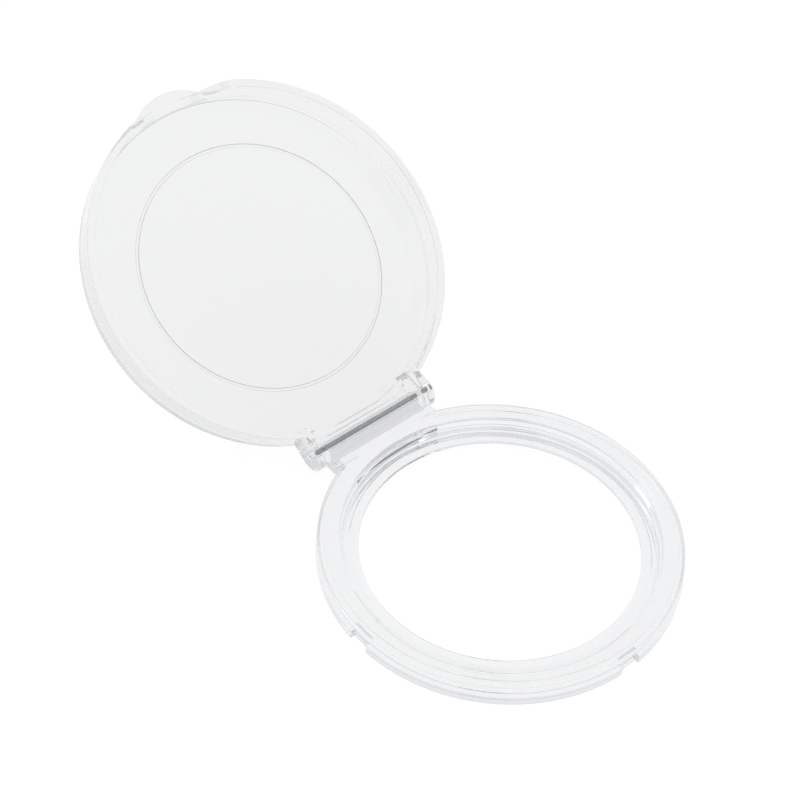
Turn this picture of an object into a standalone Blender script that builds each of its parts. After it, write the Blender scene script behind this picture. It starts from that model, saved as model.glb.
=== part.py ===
# Round clear case: a low open ring base and a shallow lid on a steel hinge pin.
# Metres, +Z up.  The base stands on z = 0, the hinge runs along X at the back (+Y),
# and the lid is shown swung open onto its stop.
#
# Everything is first laid out with the lid shut, in millimetres and with the base
# ring's axis at (0, 0).  The whole layout is then moved by RING_Y so that the open
# case is centred over the origin.

import math

import bmesh
import bpy
from mathutils import Matrix, Vector

MM = 0.001

# ---- driving dimensions, millimetres ------------------------------------------
GAP = 0.3                     # clearance between neighbouring pieces

RING_Y = -41.51               # where the base ring's axis lies along Y
SEGMENTS = 96                 # facets round the big turned shapes

# base ring, a turned section
BASE_H = 6.1                  # table to flange top
FLANGE_R = 40.0               # outer radius of the flange's edge band
FLANGE_EDGE = 1.4             # height of that band
RISER_R = 38.45               # the flange stands up by RISER_H inside this radius
RISER_H = 0.4
WALL_R = 39.35                # recessed wall between the band and the foot lip
LIP_R = 40.4                  # foot lip
LIP_H = 2.5
FLANGE_IN = 35.25             # inner edge of the flat flange
SEAT_R = 34.4                 # foot of the inner wall, outer edge of the seat
HOLE_R = 30.9                 # the open middle
SEAT_TOP = 2.75
SEAT_T = 0.95

# notches in the foot lip
NOTCH_W = 5.0
NOTCH_H = 2.4
NOTCH_IN = 38.3               # radius the notches reach in to
NOTCH_ANGLES = (90.0, 180.0)   # from the hinge, anticlockwise seen from above

# hinge
AXIS_Y = 45.05
AXIS_Z = 4.3
LID_OPEN = 145.0              # degrees from shut to the stop
PIN_R = 0.6
PIN_HALF = 17.2
HOLE_CLEAR = PIN_R + GAP
KNUCKLE_R = 1.9
KNUCKLE_HALF = 13.6
EAR_R = 3.8
EAR_TOP = 8.2                 # height at which an ear leaves the lid's wall
EAR_OUT = 17.4
EAR_IN = KNUCKLE_HALF + GAP
TROUGH_Z = 3.6                # floor of the straight trough before the knuckle
TROUGH_Y = 39.2

# lid
LID_Y = 0.7                   # lid's own centre, a little behind the ring's
LID_RIM_Z = 2.3
LID_TOP_Z = 11.05
LID_RIM_R = 43.65
LID_TOP_R = 43.5
LID_IN_R = 41.65
LID_T = 1.0                   # panel
GROOVE_R = 30.05              # ring groove round the inside of the panel
GROOVE_W = 0.7
GROOVE_D = 0.25
SHOULDER = 0.9                # outer round of the panel's edge
FILLET = 0.9                  # inner round between panel and wall
BACK_Y = 43.2                 # straight back face between the ears
BACK_T = 1.5
BACK_Z = 5.7                  # lower edge of the straight back wall

# thumb tab: an arc standing out level with the panel, over a relief in the rim
TAB_R = 14.1                  # radius of the tab's edge
TAB_CENTRE = 32.5             # from the lid's centre to the centre of that edge
TAB_T = 1.3
RELIEF_HALF = 15.5
RELIEF_RUN = 13.0             # length over which the swell dies out at each end
RELIEF_H = 6.3


# ---- helpers --------------------------------------------------------------------
def clear_scene():
    for ob in list(bpy.data.objects):
        bpy.data.objects.remove(ob, do_unlink=True)


def material(name, rgba, rough, metallic, transmission=0.0, ior=1.49):
    mat = bpy.data.materials.new(name)
    mat.use_nodes = True
    bsdf = mat.node_tree.nodes["Principled BSDF"]
    bsdf.inputs["Base Color"].default_value = rgba
    bsdf.inputs["Roughness"].default_value = rough
    bsdf.inputs["Metallic"].default_value = metallic
    bsdf.inputs["IOR"].default_value = ior
    bsdf.inputs["Transmission Weight"].default_value = transmission
    return mat


def arc(cy, cz, r, a0, a1, steps):
    """Points on a circle from angle a0 to a1 (degrees), both included."""
    out = []
    for i in range(steps + 1):
        a = math.radians(a0 + (a1 - a0) * i / steps)
        out.append((cy + r * math.cos(a), cz + r * math.sin(a)))
    return out


def hull(points):
    """Convex hull, anticlockwise."""
    pts = sorted(set((round(p[0], 6), round(p[1], 6)) for p in points))

    def half(seq):
        out = []
        for p in seq:
            while len(out) > 1 and ((out[-1][0] - out[-2][0]) * (p[1] - out[-2][1])
                                    - (out[-1][1] - out[-2][1]) * (p[0] - out[-2][0])) <= 1e-9:
                out.pop()
            out.append(p)
        return out

    lower, upper = half(pts), half(reversed(pts))
    return lower[:-1] + upper[:-1]


def fix_normals(bm):
    """Faces out, also on shapes hollow enough to mislead the recalculation."""
    bmesh.ops.recalc_face_normals(bm, faces=bm.faces)
    if bm.calc_volume(signed=True) < 0.0:
        bmesh.ops.reverse_faces(bm, faces=bm.faces)


def turned(profile, segments, cy):
    """Solid of revolution about the vertical through (0, cy).

    profile is a closed loop of (r, z), or an open one that starts and ends at r = 0."""
    bm = bmesh.new()
    rings = []
    for r, z in profile:
        if r < 1e-9:
            rings.append([bm.verts.new((0.0, cy * MM, z * MM))])
            continue
        ring = []
        for i in range(segments):
            a = 2.0 * math.pi * (i + 0.5) / segments
            ring.append(bm.verts.new((r * math.sin(a) * MM, (cy + r * math.cos(a)) * MM, z * MM)))
        rings.append(ring)
    open_loop = profile[0][0] < 1e-9 and profile[-1][0] < 1e-9
    pairs = len(rings) - 1 if open_loop else len(rings)
    for k in range(pairs):
        a, b = rings[k], rings[(k + 1) % len(rings)]
        for i in range(segments):
            j = (i + 1) % segments
            if len(a) == 1:
                bm.faces.new((a[0], b[i], b[j]))
            elif len(b) == 1:
                bm.faces.new((a[i], a[j], b[0]))
            else:
                bm.faces.new((a[i], a[j], b[j], b[i]))
    fix_normals(bm)
    return bm


def prism(points, lo, hi, axis):
    """Extrude a flat outline.  axis 'x': points are (y, z).  axis 'z': points are (x, y)."""
    bm = bmesh.new()
    if axis == "x":
        place = lambda p, t: (t * MM, p[0] * MM, p[1] * MM)
    else:
        place = lambda p, t: (p[0] * MM, p[1] * MM, t * MM)
    a = [bm.verts.new(place(p, lo)) for p in points]
    b = [bm.verts.new(place(p, hi)) for p in points]
    n = len(points)
    bm.faces.new(a)
    bm.faces.new(list(reversed(b)))
    for i in range(n):
        j = (i + 1) % n
        bm.faces.new((a[i], b[i], b[j], a[j]))
    fix_normals(bm)
    return bm


def box(x0, x1, y0, y1, z0, z1):
    return prism([(x0, y0), (x1, y0), (x1, y1), (x0, y1)], z0, z1, "z")


def to_object(name, bm):
    mesh = bpy.data.meshes.new(name)
    bm.to_mesh(mesh)
    bm.free()
    ob = bpy.data.objects.new(name, mesh)
    bpy.context.scene.collection.objects.link(ob)
    return ob


def combine(ob, bm, operation):
    """Join a shape to ob, or cut it away, with an exact Boolean."""
    tool = to_object("tool", bm)
    mod = ob.modifiers.new("bool", "BOOLEAN")
    mod.operation = operation
    mod.solver = "EXACT"
    mod.object = tool
    bpy.context.view_layer.update()
    deps = bpy.context.evaluated_depsgraph_get()
    result = bpy.data.meshes.new_from_object(ob.evaluated_get(deps))
    ob.modifiers.clear()
    old = ob.data
    ob.data = result
    bpy.data.meshes.remove(old)
    bpy.data.objects.remove(tool, do_unlink=True)


def finish(ob, mat, pivot):
    """Weld, shade, give the material, and put the origin at pivot (mm, shut layout)."""
    bm = bmesh.new()
    bm.from_mesh(ob.data)
    bmesh.ops.remove_doubles(bm, verts=bm.verts, dist=1e-6)
    bmesh.ops.dissolve_degenerate(bm, dist=1e-6, edges=bm.edges)
    bmesh.ops.transform(bm, matrix=Matrix.Translation(-Vector(pivot) * MM), verts=bm.verts)
    bm.to_mesh(ob.data)
    bm.free()
    ob.data.materials.clear()
    ob.data.materials.append(mat)
    ob.data.shade_smooth()
    ob.data.set_sharp_from_angle(angle=math.radians(30.0))


# ---- base ring ---------------------------------------------------------------------
def base_profile():
    """Section of the ring, (r, z)."""
    top = BASE_H
    return [
        (LIP_R - 0.3, 0.0), (LIP_R, 0.3), (LIP_R, LIP_H - 0.15), (LIP_R - 0.2, LIP_H),
        (WALL_R, LIP_H + 0.1), (WALL_R, top - FLANGE_EDGE - 0.2), (FLANGE_R, top - FLANGE_EDGE),
        (FLANGE_R, top - RISER_H - 0.2), (FLANGE_R - 0.2, top - RISER_H),
        (RISER_R + 0.1, top - RISER_H), (RISER_R, top), (FLANGE_IN, top), (FLANGE_IN - 0.25, top - 0.25),
        (SEAT_R, SEAT_TOP + 0.3), (SEAT_R - 0.35, SEAT_TOP),
        (HOLE_R + 0.15, SEAT_TOP), (HOLE_R, SEAT_TOP - 0.15),
        (HOLE_R, SEAT_TOP - SEAT_T), (SEAT_R - 0.3, SEAT_TOP - SEAT_T),
        (SEAT_R, SEAT_TOP - SEAT_T - 0.3), (SEAT_R, 0.3), (SEAT_R + 0.3, 0.0),
    ]


def bracket_profile():
    """Section of the hinge bracket, (y, z): web, trough, knuckle and heel.

    The heel's back face is where the lid's back wall comes to rest."""
    c, s = math.cos(math.radians(180.0 - LID_OPEN)), math.sin(math.radians(180.0 - LID_OPEN))
    face = (AXIS_Y - BACK_Y) - GAP            # distance of the heel's face from the axis
    half = math.sqrt(KNUCKLE_R ** 2 - face ** 2)
    up = (face * c + half * s, face * s - half * c)          # face meets knuckle
    toe_z = 0.25 - AXIS_Z
    toe = ((face - toe_z * s) / c, toe_z)
    t = TROUGH_Z - AXIS_Z
    start = math.degrees(math.atan2(t, -math.sqrt(KNUCKLE_R ** 2 - t ** 2))) % 360.0
    end = math.degrees(math.atan2(up[1], up[0]))
    pts = [(37.3, 0.0), (AXIS_Y + toe[0] - 0.25, 0.0), (AXIS_Y + toe[0], AXIS_Z + toe[1])]
    pts += list(reversed(arc(AXIS_Y, AXIS_Z, KNUCKLE_R, start, end, 16)))
    pts += list(reversed(arc(TROUGH_Y + 1.0, TROUGH_Z + 1.0, 1.0, 180.0, 270.0, 5)))
    pts += [(TROUGH_Y, BASE_H - 0.2), (TROUGH_Y - 0.2, BASE_H), (37.3, BASE_H)]
    return pts


def notch(angle):
    """A cutter for one notch in the foot lip, its flanks parallel."""
    w = NOTCH_W / 2.0
    bm = box(-w, w, NOTCH_IN, LIP_R + 2.0, -1.0, NOTCH_H)
    bmesh.ops.rotate(bm, verts=bm.verts, cent=(0, 0, 0), matrix=Matrix.Rotation(math.radians(angle), 3, "Z"))
    return bm


def make_base(mat):
    ob = to_object("base_ring", turned(base_profile(), SEGMENTS, 0.0))
    # the flange is cut straight where the trough runs
    combine(ob, box(-KNUCKLE_HALF, KNUCKLE_HALF, TROUGH_Y - 0.05, 46.0, TROUGH_Z - 0.05, BASE_H + 1.0), "DIFFERENCE")
    combine(ob, prism(bracket_profile(), -KNUCKLE_HALF, KNUCKLE_HALF, "x"), "UNION")
    for a in NOTCH_ANGLES:
        combine(ob, notch(a), "DIFFERENCE")
    combine(ob, prism(arc(AXIS_Y, AXIS_Z, HOLE_CLEAR, 0.0, 345.0, 23), -20.0, 20.0, "x"), "DIFFERENCE")
    finish(ob, mat, (0.0, 0.0, 0.0))
    ob.location = (0.0, RING_Y * MM, 0.0)
    return ob


# ---- lid ------------------------------------------------------------------------------
def lid_profile():
    """Section of the lid, (r, z), from the middle of the top face round to the inside."""
    under = LID_TOP_Z - LID_T
    pts = [(0.0, LID_TOP_Z)]
    pts += list(reversed(arc(LID_TOP_R - SHOULDER, LID_TOP_Z - SHOULDER, SHOULDER, 0.0, 90.0, 5)))
    pts += [(LID_RIM_R, LID_RIM_Z + 0.2), (LID_RIM_R - 0.2, LID_RIM_Z),
            (LID_IN_R + 0.15, LID_RIM_Z), (LID_IN_R, LID_RIM_Z + 0.15)]
    pts += arc(LID_IN_R - 0.1 - FILLET, under - FILLET, FILLET, 0.0, 90.0, 4)
    w = GROOVE_W / 2.0
    pts += [(GROOVE_R + w, under), (GROOVE_R + w, under + GROOVE_D),
            (GROOVE_R - w, under + GROOVE_D), (GROOVE_R - w, under), (0.0, under)]
    return pts


def ear_profile():
    """Side view of a hinge ear, (y, z): a round end about the axis, run into the lid's edge."""
    pts = arc(AXIS_Y, AXIS_Z, EAR_R, 0.0, 350.0, 35)
    pts += [(39.0, LID_RIM_Z), (39.0, EAR_TOP)]
    return hull(pts)


def back_profile():
    """Section of the straight back between the ears, (y, z)."""
    under = LID_TOP_Z - LID_T
    pts = [(38.5, LID_TOP_Z - 0.02), (38.5, under + 0.02), (BACK_Y - BACK_T, under + 0.02),
           (BACK_Y - BACK_T, BACK_Z), (BACK_Y, BACK_Z)]
    pts += arc(BACK_Y - SHOULDER, LID_TOP_Z - 0.02 - SHOULDER, SHOULDER, 0.0, 90.0, 5)
    return pts


def back_waste():
    """What is cut away behind the straight back, its shoulder rounded, (y, z)."""
    edge = arc(BACK_Y - SHOULDER, LID_TOP_Z - SHOULDER, SHOULDER, 0.0, 90.0, 5)
    return [(60.0, 0.0), (60.0, 20.0), (BACK_Y - SHOULDER, 20.0)] + list(reversed(edge)) + [(BACK_Y, 0.0)]


def tab_outline():
    """Plan of the thumb tab, (x, y): the part of a circle that stands out of the panel."""
    r_in = LID_TOP_R - 0.6
    # where the tab's circle crosses a circle just inside the panel's edge
    d = (r_in ** 2 + TAB_CENTRE ** 2 - TAB_R ** 2) / (2.0 * TAB_CENTRE)
    half = math.sqrt(r_in ** 2 - d ** 2)
    reach = math.degrees(math.atan2(d - TAB_CENTRE, half))
    outer = arc(0.0, -TAB_CENTRE, TAB_R, 180.0 + reach, 360.0 - reach, 26)
    inner = arc(0.0, 0.0, r_in, 270.0 + math.degrees(math.atan2(half, d)),
                270.0 - math.degrees(math.atan2(half, d)), 14)[1:-1]
    return [(x, y + LID_Y) for x, y in outer + inner]


def relief():
    """Cutter for the swell in the rim under the tab; laid out as (x, z) and run along Y."""
    pts = [(-RELIEF_HALF, LID_RIM_Z - 1.0), (RELIEF_HALF, LID_RIM_Z - 1.0)]
    n = 32
    for i in range(n + 1):
        x = RELIEF_HALF * (1.0 - 2.0 * i / n)
        t = min(1.0, (RELIEF_HALF - abs(x)) / RELIEF_RUN)
        pts.append((x, LID_RIM_Z - 0.01 + RELIEF_H * t * t * (3.0 - 2.0 * t)))
    bm = prism(pts, -50.0, -36.0, "x")
    for v in bm.verts:
        v.co = Vector((v.co.y, v.co.x, v.co.z))
    fix_normals(bm)
    return bm


def make_lid(mat):
    ob = to_object("lid_shell", turned(lid_profile(), SEGMENTS, LID_Y))
    # straight back, open below for the trough and the knuckle
    combine(ob, box(-EAR_IN, EAR_IN, 34.0, 60.0, 0.0, BACK_Z), "DIFFERENCE")
    combine(ob, prism(back_profile(), -EAR_IN - 0.6, EAR_IN + 0.6, "x"), "UNION")
    combine(ob, prism(back_waste(), -EAR_IN, EAR_IN, "x"), "DIFFERENCE")
    combine(ob, prism(ear_profile(), EAR_IN, EAR_OUT, "x"), "UNION")
    combine(ob, prism(ear_profile(), -EAR_OUT, -EAR_IN, "x"), "UNION")
    # the rim is relieved in an even swell at the front, and the thumb tab stands out above
    combine(ob, relief(), "DIFFERENCE")
    top = LID_TOP_Z - 0.15
    combine(ob, prism(tab_outline(), top - TAB_T, top, "z"), "UNION")
    combine(ob, prism(arc(AXIS_Y, AXIS_Z, HOLE_CLEAR, 0.0, 345.0, 23), -20.0, 20.0, "x"), "DIFFERENCE")
    finish(ob, mat, (0.0, AXIS_Y, AXIS_Z))
    return ob


# ---- pin --------------------------------------------------------------------------------
def make_pin(mat):
    n = 24
    bm = bmesh.new()
    ends = [(-PIN_HALF, PIN_R - 0.15), (-PIN_HALF + 0.15, PIN_R), (PIN_HALF - 0.15, PIN_R), (PIN_HALF, PIN_R - 0.15)]
    rings = []
    for x, r in ends:
        rings.append([bm.verts.new((x * MM, r * math.cos(2 * math.pi * i / n) * MM, r * math.sin(2 * math.pi * i / n) * MM))
                      for i in range(n)])
    for a, b in zip(rings, rings[1:]):
        for i in range(n):
            j = (i + 1) % n
            bm.faces.new((a[i], a[j], b[j], b[i]))
    bm.faces.new(rings[0])
    bm.faces.new(list(reversed(rings[-1])))
    fix_normals(bm)
    ob = to_object("hinge_pin", bm)
    finish(ob, mat, (0.0, 0.0, 0.0))
    ob.location = (0.0, (RING_Y + AXIS_Y) * MM, AXIS_Z * MM)
    return ob


def main():
    clear_scene()
    clear = material("clear_base", (0.95, 0.96, 0.97, 1.0), 0.04, 0.0, transmission=1.0)
    clear_lid = material("clear_lid", (0.95, 0.96, 0.97, 1.0), 0.04, 0.0, transmission=1.0)
    steel = material("steel", (0.60, 0.60, 0.62, 1.0), 0.28, 1.0)

    make_base(clear)
    make_pin(steel)
    lid = make_lid(clear_lid)

    pivot = bpy.data.objects.new("lid_pivot", None)
    bpy.context.scene.collection.objects.link(pivot)
    pivot.location = (0.0, (RING_Y + AXIS_Y) * MM, AXIS_Z * MM)
    pivot.rotation_euler = (math.radians(-LID_OPEN), 0.0, 0.0)
    lid.parent = pivot
    bpy.context.view_layer.update()


main()
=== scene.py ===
# Round clear case, open on its steel pin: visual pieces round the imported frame.
import math

import bmesh
import bpy
from mathutils import Matrix, Vector


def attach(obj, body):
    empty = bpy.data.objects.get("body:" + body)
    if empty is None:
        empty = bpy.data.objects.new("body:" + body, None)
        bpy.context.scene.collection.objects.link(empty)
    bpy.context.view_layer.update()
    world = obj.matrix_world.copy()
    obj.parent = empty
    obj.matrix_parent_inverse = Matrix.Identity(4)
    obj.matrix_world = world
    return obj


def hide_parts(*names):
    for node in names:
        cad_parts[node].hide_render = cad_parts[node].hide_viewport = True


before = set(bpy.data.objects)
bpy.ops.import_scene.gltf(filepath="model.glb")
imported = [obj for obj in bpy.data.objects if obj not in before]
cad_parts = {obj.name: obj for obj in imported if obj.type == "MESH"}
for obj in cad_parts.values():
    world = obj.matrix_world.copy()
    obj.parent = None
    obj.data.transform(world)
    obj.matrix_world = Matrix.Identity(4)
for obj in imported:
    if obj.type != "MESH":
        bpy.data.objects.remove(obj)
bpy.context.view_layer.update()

# ---- dimensions, millimetres, as in the CAD: lid shut, ring axis at (0, 0) ------
GAP = 0.3
RING_Y = -41.51
N = 448                        # facets round the turned shapes

BASE_H = 6.1
FLANGE_R = 40.0
FLANGE_EDGE = 1.4
RISER_R = 38.45
RISER_H = 0.4
WALL_R = 39.35
LIP_R = 40.3
LIP_H = 2.5
FLANGE_IN = 35.25
SEAT_R = 34.4
HOLE_R = 30.9
SEAT_TOP = 2.75
SEAT_T = 0.95
NOTCH_W = 5.0
NOTCH_H = 2.4
NOTCH_IN = 38.3

AXIS_Y = 45.05
AXIS_Z = 4.3
LID_OPEN = 145.0
PIN_R = 0.6
PIN_HALF = 17.2
HOLE_CLEAR = PIN_R + GAP
KNUCKLE_R = 1.9
KNUCKLE_HALF = 13.6
EAR_R = 3.8
EAR_OUT = 17.4
EAR_TOP = 8.2
EAR_IN = KNUCKLE_HALF + GAP
TROUGH_Z = 3.6
TROUGH_Y = 39.2

LID_Y = 0.7
LID_RIM_Z = 2.3
LID_TOP_Z = 11.05
LID_RIM_R = 43.6
LID_TOP_R = 43.45
LID_IN_R = 41.65
LID_T = 1.0
GROOVE_R = 30.05
GROOVE_W = 0.7
GROOVE_D = 0.25
SHOULDER = 0.9
FILLET = 0.9
BACK_Y = 43.2
BACK_T = 1.5
BACK_Z = 5.7
TAB_R = 14.1
TAB_CENTRE = 32.5
TAB_T = 1.3
RELIEF_HALF = 15.5
RELIEF_RUN = 13.0
RELIEF_H = 6.3


# ---- outlines ---------------------------------------------------------------------
def arc(cy, cz, r, a0, a1, steps):
    out = []
    for i in range(steps + 1):
        a = math.radians(a0 + (a1 - a0) * i / steps)
        out.append((cy + r * math.cos(a), cz + r * math.sin(a)))
    return out


def rounded(points, closed=True, hold=0.06, steps=7):
    """Round the corners of an outline.  points are (a, b, radius).

    Every straight run keeps a short stretch of its own at each end, so that smooth
    shading leaves flats flat."""
    n = len(points)
    out = []
    for i, (x, y, r) in enumerate(points):
        if not closed and i in (0, n - 1) or r <= 0.0:
            out.append((x, y))
            continue
        p = Vector((x, y))
        a = Vector(points[i - 1][:2]) - p
        b = Vector(points[(i + 1) % n][:2]) - p
        la, lb = a.length, b.length
        a.normalize()
        b.normalize()
        half = math.acos(max(-1.0, min(1.0, a.dot(b)))) / 2.0
        cut = min(r / math.tan(half), 0.49 * la, 0.49 * lb)
        rr = cut * math.tan(half)
        centre = p + (a + b).normalized() * (rr / math.sin(half))
        start, end = p + a * cut, p + b * cut
        a0 = math.atan2(start.y - centre.y, start.x - centre.x)
        a1 = math.atan2(end.y - centre.y, end.x - centre.x)
        while a1 - a0 > math.pi:
            a1 -= 2.0 * math.pi
        while a1 - a0 < -math.pi:
            a1 += 2.0 * math.pi
        h = min(hold, 0.2 * (la - cut), 0.2 * (lb - cut))
        if h > 0.004:
            out.append(tuple(start + a * h))
        k = max(2, int(math.ceil(steps * abs(a1 - a0) / (math.pi / 2.0))))
        for j in range(k + 1):
            t = a0 + (a1 - a0) * j / k
            out.append((centre.x + rr * math.cos(t), centre.y + rr * math.sin(t)))
        if h > 0.004:
            out.append(tuple(end + b * h))
    return out


def hull(points):
    pts = sorted(set((round(p[0], 6), round(p[1], 6)) for p in points))

    def half(seq):
        out = []
        for p in seq:
            while len(out) > 1 and ((out[-1][0] - out[-2][0]) * (p[1] - out[-2][1])
                                    - (out[-1][1] - out[-2][1]) * (p[0] - out[-2][0])) <= 1e-9:
                out.pop()
            out.append(p)
        return out

    lower, upper = half(pts), half(reversed(pts))
    return lower[:-1] + upper[:-1]


def inset(points, d):
    """Move an anticlockwise outline inwards by d."""
    n = len(points)
    out = []
    for i in range(n):
        p0, p1, p2 = (Vector(points[(i + k) % n]) for k in (-1, 0, 1))
        e0, e1 = (p1 - p0).normalized(), (p2 - p1).normalized()
        n0, n1 = Vector((-e0.y, e0.x)), Vector((-e1.y, e1.x))
        m = (n0 + n1)
        m = m / max(0.3, m.dot(n0)) if m.length > 1e-6 else n0
        out.append(tuple(p1 + m * d))
    return out


def area(points):
    s = 0.0
    for (a, b), (c, d) in zip(points, points[1:] + points[:1]):
        s += a * d - c * b
    return s / 2.0


# ---- solids (millimetres) -------------------------------------------------------------
def turned(profile, cy, segments=N):
    """Solid of revolution about the vertical through (0, cy)."""
    bm = bmesh.new()
    rings = []
    for r, z in profile:
        if r < 1e-9:
            rings.append([bm.verts.new((0.0, cy, z))])
            continue
        ring = []
        for i in range(segments):
            a = 2.0 * math.pi * (i + 0.5) / segments
            ring.append(bm.verts.new((r * math.sin(a), cy + r * math.cos(a), z)))
        rings.append(ring)
    open_loop = profile[0][0] < 1e-9 and profile[-1][0] < 1e-9
    pairs = len(rings) - 1 if open_loop else len(rings)
    for k in range(pairs):
        a, b = rings[k], rings[(k + 1) % len(rings)]
        for i in range(segments):
            j = (i + 1) % segments
            if len(a) == 1:
                bm.faces.new((a[0], b[i], b[j]))
            elif len(b) == 1:
                bm.faces.new((a[i], a[j], b[0]))
            else:
                bm.faces.new((a[i], a[j], b[j], b[i]))
    bmesh.ops.recalc_face_normals(bm, faces=bm.faces)
    return bm


def prism(points, lo, hi, axis="x", edge=0.0, steps=5):
    """Extrude an outline along an axis, its two end faces rounded off by edge."""
    pts = list(points)
    if area(pts) < 0:
        pts.reverse()
    place = {"x": lambda p, t: (t, p[0], p[1]),
             "y": lambda p, t: (p[0], t, p[1]),
             "z": lambda p, t: (p[0], p[1], t)}[axis]
    if edge > 0:
        first = [(lo + edge * (1 - math.cos(math.pi / 2.0 * j / steps)),
                  edge * (1 - math.sin(math.pi / 2.0 * j / steps))) for j in range(steps + 1)]
        last = [(hi - (t - lo), d) for t, d in reversed(first)]
        layers = first + [(lo + edge + 0.05, 0.0), (hi - edge - 0.05, 0.0)] + last
    else:
        layers = [(lo, 0.0), (hi, 0.0)]
    bm = bmesh.new()
    rings = []
    for t, d in layers:
        loop = inset(pts, d) if d > 1e-9 else pts
        rings.append([bm.verts.new(place(p, t)) for p in loop])
    n = len(pts)
    for a, b in zip(rings, rings[1:]):
        for i in range(n):
            j = (i + 1) % n
            bm.faces.new((a[i], a[j], b[j], b[i]))
    bm.faces.new(rings[0])
    bm.faces.new(list(reversed(rings[-1])))
    bmesh.ops.recalc_face_normals(bm, faces=bm.faces)
    if bm.calc_volume(signed=True) < 0.0:
        bmesh.ops.reverse_faces(bm, faces=bm.faces)
    return bm


def as_object(name, bm):
    mesh = bpy.data.meshes.new(name)
    bm.to_mesh(mesh)
    bm.free()
    ob = bpy.data.objects.new(name, mesh)
    bpy.context.scene.collection.objects.link(ob)
    return ob


def combine(ob, bms, operation):
    """Join one shape, or several that don't touch, to ob, or cut them away."""
    tool_bm = bmesh.new()
    for bm in (bms if isinstance(bms, (list, tuple)) else [bms]):
        me = bpy.data.meshes.new("part")
        bm.to_mesh(me)
        bm.free()
        tool_bm.from_mesh(me)
        bpy.data.meshes.remove(me)
    tool = as_object("tool", tool_bm)
    mod = ob.modifiers.new("bool", "BOOLEAN")
    mod.operation = operation
    mod.solver = "EXACT"
    mod.object = tool
    bpy.context.view_layer.update()
    deps = bpy.context.evaluated_depsgraph_get()
    result = bpy.data.meshes.new_from_object(ob.evaluated_get(deps))
    ob.modifiers.clear()
    old = ob.data
    ob.data = result
    bpy.data.meshes.remove(old)
    bpy.data.objects.remove(tool, do_unlink=True)


def settle(ob, matrix, mat, angle=28.0):
    """Weld, take to metres and to its place, and shade smooth except at real edges."""
    bm = bmesh.new()
    bm.from_mesh(ob.data)
    bmesh.ops.remove_doubles(bm, verts=bm.verts, dist=2e-4)
    bmesh.ops.dissolve_degenerate(bm, dist=2e-4, edges=bm.edges)
    bmesh.ops.transform(bm, matrix=matrix @ Matrix.Scale(0.001, 4), verts=bm.verts)
    loose = [v for v in bm.verts if not v.link_faces]
    bmesh.ops.delete(bm, geom=loose, context="VERTS")
    bmesh.ops.recalc_face_normals(bm, faces=bm.faces)
    bm.to_mesh(ob.data)
    bm.free()
    ob.data.materials.clear()
    ob.data.materials.append(mat)
    ob.data.shade_smooth()
    ob.data.set_sharp_from_angle(angle=math.radians(angle))


# ---- materials ---------------------------------------------------------------------------
def nodes_of(name):
    mat = bpy.data.materials.new(name)
    mat.use_nodes = True
    nt = mat.node_tree
    nt.nodes.clear()
    out = nt.nodes.new("ShaderNodeOutputMaterial")
    bsdf = nt.nodes.new("ShaderNodeBsdfPrincipled")
    nt.links.new(bsdf.outputs["BSDF"], out.inputs["Surface"])
    return mat, nt, bsdf


def painted_shade_circles(nt, coord, radii, width, axis_point, axis_dir, depth):
    """Fine circles of painted shade about an axis, on the under face only: 0 on a line, 1 away from it, as a value.
    """
    away = nt.nodes.new("ShaderNodeVectorMath")
    away.operation = "SUBTRACT"
    away.inputs[1].default_value = axis_point
    nt.links.new(coord.outputs["Object"], away.inputs[0])
    cross = nt.nodes.new("ShaderNodeVectorMath")
    cross.operation = "CROSS_PRODUCT"
    cross.inputs[1].default_value = axis_dir
    nt.links.new(away.outputs["Vector"], cross.inputs[0])
    size = nt.nodes.new("ShaderNodeVectorMath")
    size.operation = "LENGTH"
    nt.links.new(cross.outputs["Vector"], size.inputs[0])
    total = None
    for r in radii:
        off = nt.nodes.new("ShaderNodeMath")
        off.operation = "COMPARE"
        off.inputs[1].default_value = r
        off.inputs[2].default_value = width / 2.0
        nt.links.new(size.outputs["Value"], off.inputs[0])
        if total is None:
            total = off
        else:
            add = nt.nodes.new("ShaderNodeMath")
            add.operation = "MAXIMUM"
            nt.links.new(total.outputs["Value"], add.inputs[0])
            nt.links.new(off.outputs["Value"], add.inputs[1])
            total = add
    along = nt.nodes.new("ShaderNodeVectorMath")
    along.operation = "DOT_PRODUCT"
    along.inputs[1].default_value = axis_dir
    nt.links.new(away.outputs["Vector"], along.inputs[0])
    face = nt.nodes.new("ShaderNodeMath")
    face.operation = "LESS_THAN"
    face.inputs[1].default_value = (LID_TOP_Z - 0.4 * LID_T) * 0.001
    nt.links.new(along.outputs["Value"], face.inputs[0])
    inside = nt.nodes.new("ShaderNodeMath")
    inside.operation = "MULTIPLY"
    nt.links.new(total.outputs["Value"], inside.inputs[0])
    nt.links.new(face.outputs["Value"], inside.inputs[1])
    out = nt.nodes.new("ShaderNodeMapRange")
    out.inputs["To Min"].default_value = 1.0
    out.inputs["To Max"].default_value = 1.0 - depth
    nt.links.new(inside.outputs["Value"], out.inputs["Value"])
    return out


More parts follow.
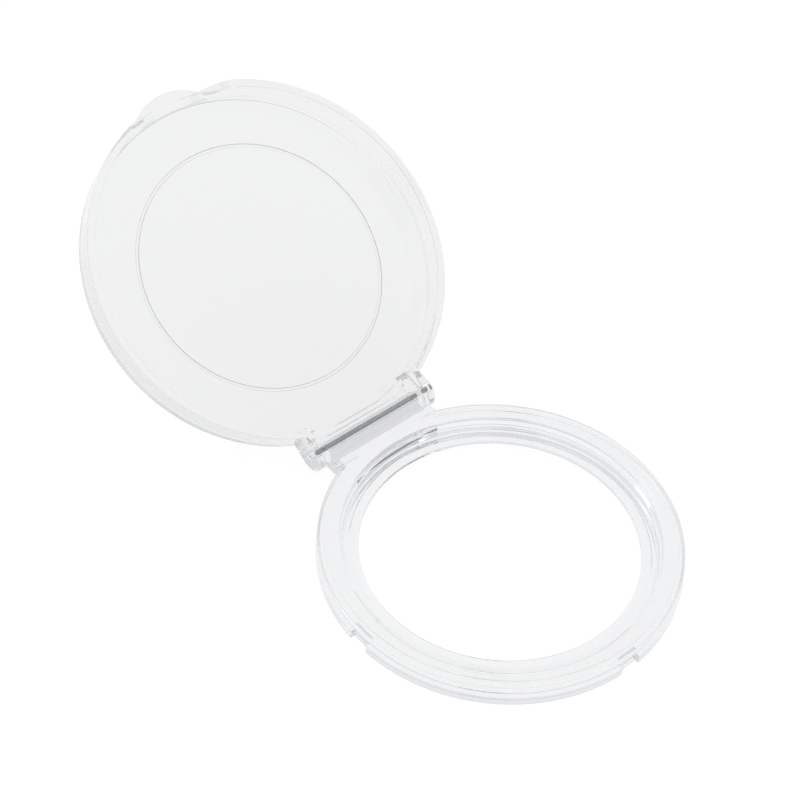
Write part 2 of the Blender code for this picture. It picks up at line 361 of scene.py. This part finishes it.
def box_mask(nt, coord, low, high, soft):
    """1 inside an object-space box and 0 outside, with soft edges."""
    apart = nt.nodes.new("ShaderNodeSeparateXYZ")
    nt.links.new(coord.outputs["Object"], apart.inputs["Vector"])
    total = None
    for axis, a, b, e in zip("XYZ", low, high, soft):
        for start, end in ((a - e, a + e), (b + e, b - e)):
            ramp = nt.nodes.new("ShaderNodeMapRange")
            ramp.interpolation_type = "SMOOTHSTEP"
            ramp.inputs["From Min"].default_value = start
            ramp.inputs["From Max"].default_value = end
            nt.links.new(apart.outputs[axis], ramp.inputs["Value"])
            if total is None:
                total = ramp.outputs["Result"]
            else:
                times = nt.nodes.new("ShaderNodeMath")
                times.operation = "MULTIPLY"
                nt.links.new(total, times.inputs[0])
                nt.links.new(ramp.outputs["Result"], times.inputs[1])
                total = times.outputs["Value"]
    return total


def clear_plastic(name, tint, wave, seed, lines=None, matt_painted_shade=None):
    """Polished clear styrene: slight moulding waves, and a haze of fine handling marks."""
    mat, nt, bsdf = nodes_of(name)
    bsdf.inputs["Base Color"].default_value = tint
    bsdf.inputs["Transmission Weight"].default_value = 1.0
    bsdf.inputs["IOR"].default_value = 1.55
    coord = nt.nodes.new("ShaderNodeTexCoord")
    shift = nt.nodes.new("ShaderNodeMapping")
    shift.inputs["Location"].default_value = (seed, seed * 0.7, seed * 1.3)
    nt.links.new(coord.outputs["Object"], shift.inputs["Vector"])

    # roughness: almost none, a little more where it has been handled
    marks = nt.nodes.new("ShaderNodeTexNoise")
    marks.inputs["Scale"].default_value = 55.0
    marks.inputs["Detail"].default_value = 5.0
    marks.inputs["Roughness"].default_value = 0.6
    nt.links.new(shift.outputs["Vector"], marks.inputs["Vector"])
    rough = nt.nodes.new("ShaderNodeMapRange")
    rough.inputs["From Min"].default_value = 0.35
    rough.inputs["From Max"].default_value = 0.75
    rough.inputs["To Min"].default_value = 0.0
    rough.inputs["To Max"].default_value = 0.03
    nt.links.new(marks.outputs["Fac"], rough.inputs["Value"])
    nt.links.new(rough.outputs["Result"], bsdf.inputs["Roughness"])

    # height: long flow waves of the moulding and a very fine grain
    flow = nt.nodes.new("ShaderNodeTexNoise")
    flow.inputs["Scale"].default_value = 28.0
    flow.inputs["Detail"].default_value = 1.5
    nt.links.new(shift.outputs["Vector"], flow.inputs["Vector"])
    grain = nt.nodes.new("ShaderNodeTexNoise")
    grain.inputs["Scale"].default_value = 900.0
    grain.inputs["Detail"].default_value = 2.0
    nt.links.new(shift.outputs["Vector"], grain.inputs["Vector"])
    mix = nt.nodes.new("ShaderNodeMath")
    mix.operation = "MULTIPLY_ADD"
    mix.inputs[1].default_value = 0.004
    nt.links.new(grain.outputs["Fac"], mix.inputs[0])
    nt.links.new(flow.outputs["Fac"], mix.inputs[2])
    bump = nt.nodes.new("ShaderNodeBump")
    bump.inputs["Strength"].default_value = wave
    bump.inputs["Distance"].default_value = 0.0006
    nt.links.new(mix.outputs["Value"], bump.inputs["Height"])
    nt.links.new(bump.outputs["Normal"], bsdf.inputs["Normal"])
    # painted shade: the base colour darkens towards black along the circles given in lines
    if lines:
        painted_shade_ring = painted_shade_circles(nt, coord, *lines)
        dim = nt.nodes.new("ShaderNodeMix")
        dim.data_type = "RGBA"
        dim.inputs["A"].default_value = tuple(c * 0.0 for c in tint[:3]) + (1.0,)
        dim.inputs["B"].default_value = tint
        nt.links.new(painted_shade_ring.outputs["Result"], dim.inputs["Factor"])
        nt.links.new(dim.outputs["Result"], bsdf.inputs["Base Color"])
    if matt_painted_shade:
        # a box in the trough under the pin: a greyer base colour there is painted shade, and it is rougher than the
        # rest
        low, high, soft, painted_shade_grey, dull = matt_painted_shade
        mask = box_mask(nt, coord, low, high, soft)
        dim = nt.nodes.new("ShaderNodeMix")
        dim.data_type = "RGBA"
        dim.inputs["A"].default_value = tint
        dim.inputs["B"].default_value = painted_shade_grey
        nt.links.new(mask, dim.inputs["Factor"])
        nt.links.new(dim.outputs["Result"], bsdf.inputs["Base Color"])
        more = nt.nodes.new("ShaderNodeMath")
        more.operation = "MULTIPLY_ADD"
        more.inputs[1].default_value = dull
        nt.links.new(mask, more.inputs[0])
        nt.links.new(rough.outputs["Result"], more.inputs[2])
        nt.links.new(more.outputs["Value"], bsdf.inputs["Roughness"])
    return mat


def wire_steel(name):
    """Drawn steel wire: fine lines along its length."""
    mat, nt, bsdf = nodes_of(name)
    bsdf.inputs["Metallic"].default_value = 1.0
    coord = nt.nodes.new("ShaderNodeTexCoord")
    stretch = nt.nodes.new("ShaderNodeMapping")
    stretch.inputs["Scale"].default_value = (60.0, 9000.0, 9000.0)
    nt.links.new(coord.outputs["Object"], stretch.inputs["Vector"])
    lines = nt.nodes.new("ShaderNodeTexNoise")
    lines.inputs["Scale"].default_value = 1.0
    lines.inputs["Detail"].default_value = 4.0
    nt.links.new(stretch.outputs["Vector"], lines.inputs["Vector"])
    tone = nt.nodes.new("ShaderNodeValToRGB")
    tone.color_ramp.elements[0].position = 0.3
    tone.color_ramp.elements[0].color = (0.34, 0.34, 0.355, 1.0)
    tone.color_ramp.elements[1].position = 0.75
    tone.color_ramp.elements[1].color = (0.56, 0.56, 0.58, 1.0)
    nt.links.new(lines.outputs["Fac"], tone.inputs["Fac"])
    nt.links.new(tone.outputs["Color"], bsdf.inputs["Base Color"])
    rough = nt.nodes.new("ShaderNodeMapRange")
    rough.inputs["To Min"].default_value = 0.08
    rough.inputs["To Max"].default_value = 0.22
    nt.links.new(lines.outputs["Fac"], rough.inputs["Value"])
    nt.links.new(rough.outputs["Result"], bsdf.inputs["Roughness"])
    bump = nt.nodes.new("ShaderNodeBump")
    bump.inputs["Strength"].default_value = 0.25
    bump.inputs["Distance"].default_value = 0.00003
    nt.links.new(lines.outputs["Fac"], bump.inputs["Height"])
    nt.links.new(bump.outputs["Normal"], bsdf.inputs["Normal"])
    return mat


# ---- base ring --------------------------------------------------------------------------
def base_profile():
    top = BASE_H
    pts = [
        (LIP_R, 0.0, 0.35), (LIP_R, LIP_H, 0.25),
        (WALL_R, LIP_H + 0.1, 0.15), (WALL_R, top - FLANGE_EDGE - 0.3, 0.2),
        (FLANGE_R, top - FLANGE_EDGE, 0.15), (FLANGE_R, top - RISER_H, 0.2),
        (RISER_R + 0.1, top - RISER_H, 0.12), (RISER_R, top, 0.15), (FLANGE_IN, top, 0.3), (SEAT_R + 0.55, 4.3, 0.0), (SEAT_R + 0.35, 4.15, 0.0),
        (SEAT_R, SEAT_TOP, 0.35), (33.2, SEAT_TOP, 0.0), (33.0, SEAT_TOP - 0.12, 0.0),
        (HOLE_R, SEAT_TOP - 0.12, 0.2), (HOLE_R, SEAT_TOP - SEAT_T, 0.15),
        (SEAT_R, SEAT_TOP - SEAT_T, 0.2), (SEAT_R, 0.0, 0.25),
    ]
    return rounded(pts)


def bracket_profile():
    c, s = math.cos(math.radians(180.0 - LID_OPEN)), math.sin(math.radians(180.0 - LID_OPEN))
    face = (AXIS_Y - BACK_Y) - GAP
    half = math.sqrt(KNUCKLE_R ** 2 - face ** 2)
    up = (face * c + half * s, face * s - half * c)
    toe_z = 0.25 - AXIS_Z
    toe = ((face - toe_z * s) / c, toe_z)
    t = TROUGH_Z - AXIS_Z
    start = math.degrees(math.atan2(t, -math.sqrt(KNUCKLE_R ** 2 - t ** 2))) % 360.0
    end = math.degrees(math.atan2(up[1], up[0]))
    pts = [(37.3, 0.0), (AXIS_Y + toe[0] - 0.25, 0.0), (AXIS_Y + toe[0], AXIS_Z + toe[1])]
    pts += list(reversed(arc(AXIS_Y, AXIS_Z, KNUCKLE_R, start, end, 40)))
    pts += list(reversed(arc(TROUGH_Y + 1.0, TROUGH_Z + 1.0, 1.0, 180.0, 270.0, 10)))
    pts += [
            (TROUGH_Y, BASE_H - 0.3), (TROUGH_Y - 0.09, BASE_H - 0.09), (TROUGH_Y - 0.3, BASE_H),
            (37.3, BASE_H)]
    return pts


def notch(angle):
    w = NOTCH_W / 2.0
    pts = rounded([(-w, -1.0, 0.0), (w, -1.0, 0.0), (w, NOTCH_H, 0.35), (-w, NOTCH_H, 0.35)])
    bm = prism(pts, NOTCH_IN, LIP_R + 2.0, "y")
    bmesh.ops.rotate(bm, verts=bm.verts, cent=(0, 0, 0), matrix=Matrix.Rotation(math.radians(angle), 3, "Z"))
    return bm


def make_base(mat):
    ob = as_object("ring_moulding", turned(base_profile(), 0.0))
    k = KNUCKLE_HALF
    combine(ob, prism([(TROUGH_Y - 0.05, TROUGH_Z - 0.05), (46.0, TROUGH_Z - 0.05), (46.0, BASE_H + 1.0),
                       (TROUGH_Y - 0.05, BASE_H + 1.0)], -k, k), "DIFFERENCE")
    combine(ob, prism(bracket_profile(), -k, k), "UNION")
    combine(ob, [notch(a) for a in (90.0, 180.0)]
            + [prism(arc(AXIS_Y, AXIS_Z, HOLE_CLEAR, 0.0, 354.0, 59), -20.0, 20.0)], "DIFFERENCE")
    settle(ob, Matrix.Translation((0.0, RING_Y * 0.001, 0.0)), mat)
    return ob


# ---- lid ------------------------------------------------------------------------------------
def lid_profile():
    under = LID_TOP_Z - LID_T
    w = GROOVE_W / 2.0
    pts = [
        (0.0, LID_TOP_Z, 0.0), (LID_TOP_R, LID_TOP_Z, SHOULDER), (LID_RIM_R, LID_RIM_Z, 0.25),
        (LID_IN_R, LID_RIM_Z, 0.25), (LID_IN_R - 0.1, under, FILLET),
        (GROOVE_R + w, under, 0.06), (GROOVE_R + w - 0.03, under + GROOVE_D, 0.06),
        (GROOVE_R - w + 0.03, under + GROOVE_D, 0.06), (GROOVE_R - w, under, 0.06), (0.0, under, 0.0),
    ]
    return rounded(pts, closed=False, steps=9)


def ear_profile():
    pts = arc(AXIS_Y, AXIS_Z, EAR_R, 0.0, 354.0, 59)
    pts += [(39.0, LID_RIM_Z), (39.0, EAR_TOP)]
    return hull(pts)


def back_profile():
    under = LID_TOP_Z - LID_T
    pts = [(38.5, LID_TOP_Z - 0.02), (38.5, under + 0.02)]
    pts += [(BACK_Y - BACK_T - 0.9 + 0.9 * math.sin(a), under + 0.02 - 0.9 + 0.9 * math.cos(a))
            for a in (math.pi / 2.0 * i / 7 for i in range(8))]
    pts += [(BACK_Y - BACK_T, BACK_Z + 0.3), (BACK_Y - BACK_T + 0.3, BACK_Z), (BACK_Y - 0.3, BACK_Z),
            (BACK_Y, BACK_Z + 0.3)]
    pts += arc(BACK_Y - SHOULDER, LID_TOP_Z - 0.02 - SHOULDER, SHOULDER, 0.0, 90.0, 9)
    return pts


def back_waste():
    edge = arc(BACK_Y - SHOULDER, LID_TOP_Z - SHOULDER, SHOULDER, 0.0, 90.0, 9)
    return [(60.0, 0.0), (60.0, 20.0), (BACK_Y - SHOULDER, 20.0)] + list(reversed(edge)) + [(BACK_Y, 0.0)]


def tab_outline():
    r_in = LID_TOP_R - 0.6
    d = (r_in ** 2 + TAB_CENTRE ** 2 - TAB_R ** 2) / (2.0 * TAB_CENTRE)
    half = math.sqrt(r_in ** 2 - d ** 2)
    reach = math.degrees(math.atan2(d - TAB_CENTRE, half))
    side = math.degrees(math.atan2(half, d))
    outer = arc(0.0, -TAB_CENTRE, TAB_R, 180.0 + reach, 360.0 - reach, 60)
    inner = arc(0.0, 0.0, r_in - 0.8, 270.0 + side, 270.0 - side, 30)[1:-1]
    return [(x, y + LID_Y) for x, y in outer + inner]


def relief():
    """Cutter for the rim's relief under the tab: an even swell, (x, z)."""
    pts = [(-RELIEF_HALF, LID_RIM_Z - 1.0), (RELIEF_HALF, LID_RIM_Z - 1.0)]
    n = 64
    for i in range(n + 1):
        x = RELIEF_HALF * (1.0 - 2.0 * i / n)
        t = min(1.0, (RELIEF_HALF - abs(x)) / RELIEF_RUN)
        pts.append((x, LID_RIM_Z - 0.01 + RELIEF_H * t * t * (3.0 - 2.0 * t)))
    return prism(pts, -50.0, -36.0, "y")


def lid_turn():
    """From the shut layout, in metres, to the open lid in the shared frame."""
    return (Matrix.Translation((0.0, (RING_Y + AXIS_Y) * 0.001, AXIS_Z * 0.001))
            @ Matrix.Rotation(math.radians(-LID_OPEN), 4, "X")
            @ Matrix.Translation((0.0, -AXIS_Y * 0.001, -AXIS_Z * 0.001)))


def make_lid(mat):
    ob = as_object("lid_moulding", turned(lid_profile(), LID_Y))
    e = EAR_IN
    combine(ob, prism([(34.0, 0.0), (60.0, 0.0), (60.0, BACK_Z), (34.0, BACK_Z)], -e, e), "DIFFERENCE")
    combine(ob, prism(back_profile(), -e - 0.6, e + 0.6), "UNION")
    combine(ob, prism(back_waste(), -e, e), "DIFFERENCE")
    combine(ob, [prism(ear_profile(), e, EAR_OUT, edge=0.5), prism(ear_profile(), -EAR_OUT, -e, edge=0.5)], "UNION")
    combine(ob, relief(), "DIFFERENCE")
    top = LID_TOP_Z - 0.15
    combine(ob, prism(tab_outline(), top - TAB_T, top, "z", edge=0.4), "UNION")
    combine(ob, prism(arc(AXIS_Y, AXIS_Z, HOLE_CLEAR, 0.0, 354.0, 59), -20.0, 20.0), "DIFFERENCE")
    settle(ob, lid_turn(), mat)
    return ob


# ---- pin ---------------------------------------------------------------------------------------
def make_pin(mat):
    """Cut wire with rounded-over ends."""
    n = 48
    prof = [(0.0, PIN_HALF), (0.22, PIN_HALF - 0.01), (0.40, PIN_HALF - 0.06), (0.52, PIN_HALF - 0.15),
            (0.58, PIN_HALF - 0.27), (PIN_R, PIN_HALF - 0.42), (PIN_R, PIN_HALF - 0.6)]
    bm = bmesh.new()
    stations = [(-x, r) for r, x in prof] + [(x, r) for r, x in reversed(prof)]
    rings = []
    for x, r in stations:
        if r < 1e-9:
            rings.append([bm.verts.new((x, AXIS_Y, AXIS_Z))])
        else:
            rings.append([bm.verts.new((x, AXIS_Y + r * math.cos(2 * math.pi * i / n),
                                        AXIS_Z + r * math.sin(2 * math.pi * i / n))) for i in range(n)])
    for a, b in zip(rings, rings[1:]):
        for i in range(n):
            j = (i + 1) % n
            if len(a) == 1:
                bm.faces.new((a[0], b[i], b[j]))
            elif len(b) == 1:
                bm.faces.new((a[i], a[j], b[0]))
            else:
                bm.faces.new((a[i], a[j], b[j], b[i]))
    bmesh.ops.recalc_face_normals(bm, faces=bm.faces)
    ob = as_object("pin_wire", bm)
    settle(ob, Matrix.Translation((0.0, RING_Y * 0.001, 0.0)), mat, angle=40.0)
    return ob


# ---- stage ------------------------------------------------------------------------------------
def make_stage():
    bm = bmesh.new()
    s = 3.0
    bm.faces.new([bm.verts.new(p) for p in ((-s, -s, 0), (s, -s, 0), (s, s, 0), (-s, s, 0))])
    floor = as_object("floor", bm)
    floor.location = (0.0, 0.0, -0.00012)
    mat, nt, bsdf = nodes_of("floor_white")
    bsdf.inputs["Base Color"].default_value = (0.12, 0.12, 0.12, 1.0)
    bsdf.inputs["Roughness"].default_value = 0.9
    bsdf.inputs["Specular IOR Level"].default_value = 0.0
    bsdf.inputs["Emission Color"].default_value = (1.0, 1.0, 1.0, 1.0)
    bsdf.inputs["Emission Strength"].default_value = 0.93
    floor.data.materials.append(mat)

    # a bright tent: pale overhead, a little darker towards the horizon
    world = bpy.data.worlds.new("studio")
    bpy.context.scene.world = world
    world.use_nodes = True
    wt = world.node_tree
    bg = wt.nodes["Background"]
    coord = wt.nodes.new("ShaderNodeTexCoord")
    split = wt.nodes.new("ShaderNodeSeparateXYZ")
    ramp = wt.nodes.new("ShaderNodeValToRGB")
    wt.links.new(coord.outputs["Generated"], split.inputs["Vector"])
    wt.links.new(split.outputs["Z"], ramp.inputs["Fac"])
    # a dark card beside the lens
    toward = wt.nodes.new("ShaderNodeVectorMath")
    toward.operation = "DOT_PRODUCT"
    toward.inputs[1].default_value = (-0.480, -0.436, 0.761)
    wt.links.new(coord.outputs["Generated"], toward.inputs[0])
    card = wt.nodes.new("ShaderNodeMapRange")
    card.interpolation_type = "SMOOTHSTEP"
    card.inputs["From Min"].default_value = math.cos(math.radians(13.0))
    card.inputs["From Max"].default_value = math.cos(math.radians(9.0))
    card.inputs["To Min"].default_value = 1.0
    card.inputs["To Max"].default_value = 0.03
    wt.links.new(toward.outputs["Value"], card.inputs["Value"])
    shade = wt.nodes.new("ShaderNodeMix")
    shade.data_type = "RGBA"
    shade.blend_type = "MULTIPLY"
    shade.inputs["Factor"].default_value = 1.0
    wt.links.new(ramp.outputs["Color"], shade.inputs["A"])
    wt.links.new(card.outputs["Result"], shade.inputs["B"])
    wt.links.new(shade.outputs["Result"], bg.inputs["Color"])
    ramp.color_ramp.interpolation = "EASE"
    ramp.color_ramp.elements[0].position = 0.0
    ramp.color_ramp.elements[0].color = (0.70, 0.71, 0.74, 1.0)
    ramp.color_ramp.elements[1].position = 0.55
    ramp.color_ramp.elements[1].color = (0.84, 0.85, 0.87, 1.0)
    bg.inputs["Strength"].default_value = 1.0

    def softbox(name, loc, aim, size, power):
        data = bpy.data.lights.new(name, "AREA")
        data.shape = "RECTANGLE"
        data.size, data.size_y = size
        data.energy = power
        ob = bpy.data.objects.new(name, data)
        ob.location = loc
        ob.rotation_euler = (Vector(aim) - Vector(loc)).to_track_quat("-Z", "Y").to_euler()
        bpy.context.scene.collection.objects.link(ob)

    softbox("key", (-0.5, 0.9, 1.0), (0.0, 0.0, 0.0), (0.34, 0.34), 0.46)


def make_camera():
    right = Vector((0.7611082567416075, -0.6476677951436228, 0.03522284278064286))
    down = Vector((-0.444137702598754, -0.5599664042924829, -0.699413559486838))
    ahead = Vector((0.47271124658722935, 0.5166856425308779, -0.7138487403872068))
    unit = 0.040
    centre = Vector((0.0, RING_Y * 0.001, BASE_H * 0.001))
    where = Vector((-4.714061532761506, -4.284819483927866, 7.467773622471599)) * unit + centre
    data = bpy.data.cameras.new("camera")
    data.sensor_width = 36.0
    data.lens = 36.0 * 1800.85 / 800.0
    data.clip_start = 0.01
    cam = bpy.data.objects.new("camera", data)
    rot = Matrix((right, -down, -ahead)).transposed()
    cam.matrix_world = Matrix.Translation(where) @ rot.to_4x4()
    bpy.context.scene.collection.objects.link(cam)
    bpy.context.scene.camera = cam


def main():
    # painted shade in the trough under the pin: the box below gets a grey base colour, and more roughness
    trough = [v * 0.001 for v in (RING_Y + TROUGH_Y + 0.5, RING_Y + AXIS_Y - 1.2, TROUGH_Z)]
    base_mat = clear_plastic("clear_base_moulded", (0.90, 0.905, 0.912, 1.0), 0.03, 3.1,
                             matt_painted_shade=((-0.0138, trough[0], trough[2] - 0.0004), (0.0138, trough[1], trough[2] + 0.0016),
                                   (0.0003, 0.0006, 0.0003), (0.60, 0.605, 0.63, 1.0), 0.08))
    turn = lid_turn()
    centre = turn @ Vector((0.0, LID_Y * 0.001, 0.0))
    axis = turn.to_3x3() @ Vector((0.0, 0.0, 1.0))
    half = GROOVE_W / 2.0
    # painted shade: dark circles at the groove's two edges, on the lid's under face
    lid_mat = clear_plastic("clear_lid_moulded", (0.868, 0.871, 0.870, 1.0), 0.03, 7.7,
                            [((GROOVE_R - half) * 0.001, (GROOVE_R + half) * 0.001), 0.00017,
                             tuple(centre), tuple(axis), 0.42])
    steel = wire_steel("steel_wire")

    base = make_base(base_mat)
    lid = make_lid(lid_mat)
    pin = make_pin(steel)
    for piece, node, body, slot in ((base, "base_ring", "base", "clear_base"),
                                    (lid, "lid_shell", "lid", "clear_lid"),
                                    (pin, "hinge_pin", "base", "steel")):
        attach(piece, body)
        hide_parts(node)

    make_stage()
    make_camera()
    sc = bpy.context.scene
    sc.view_settings.view_transform = "Standard"
    sc.view_settings.look = "None"
    sc.cycles.max_bounces = 96
    sc.cycles.transmission_bounces = 96
    sc.cycles.glossy_bounces = 96


main()
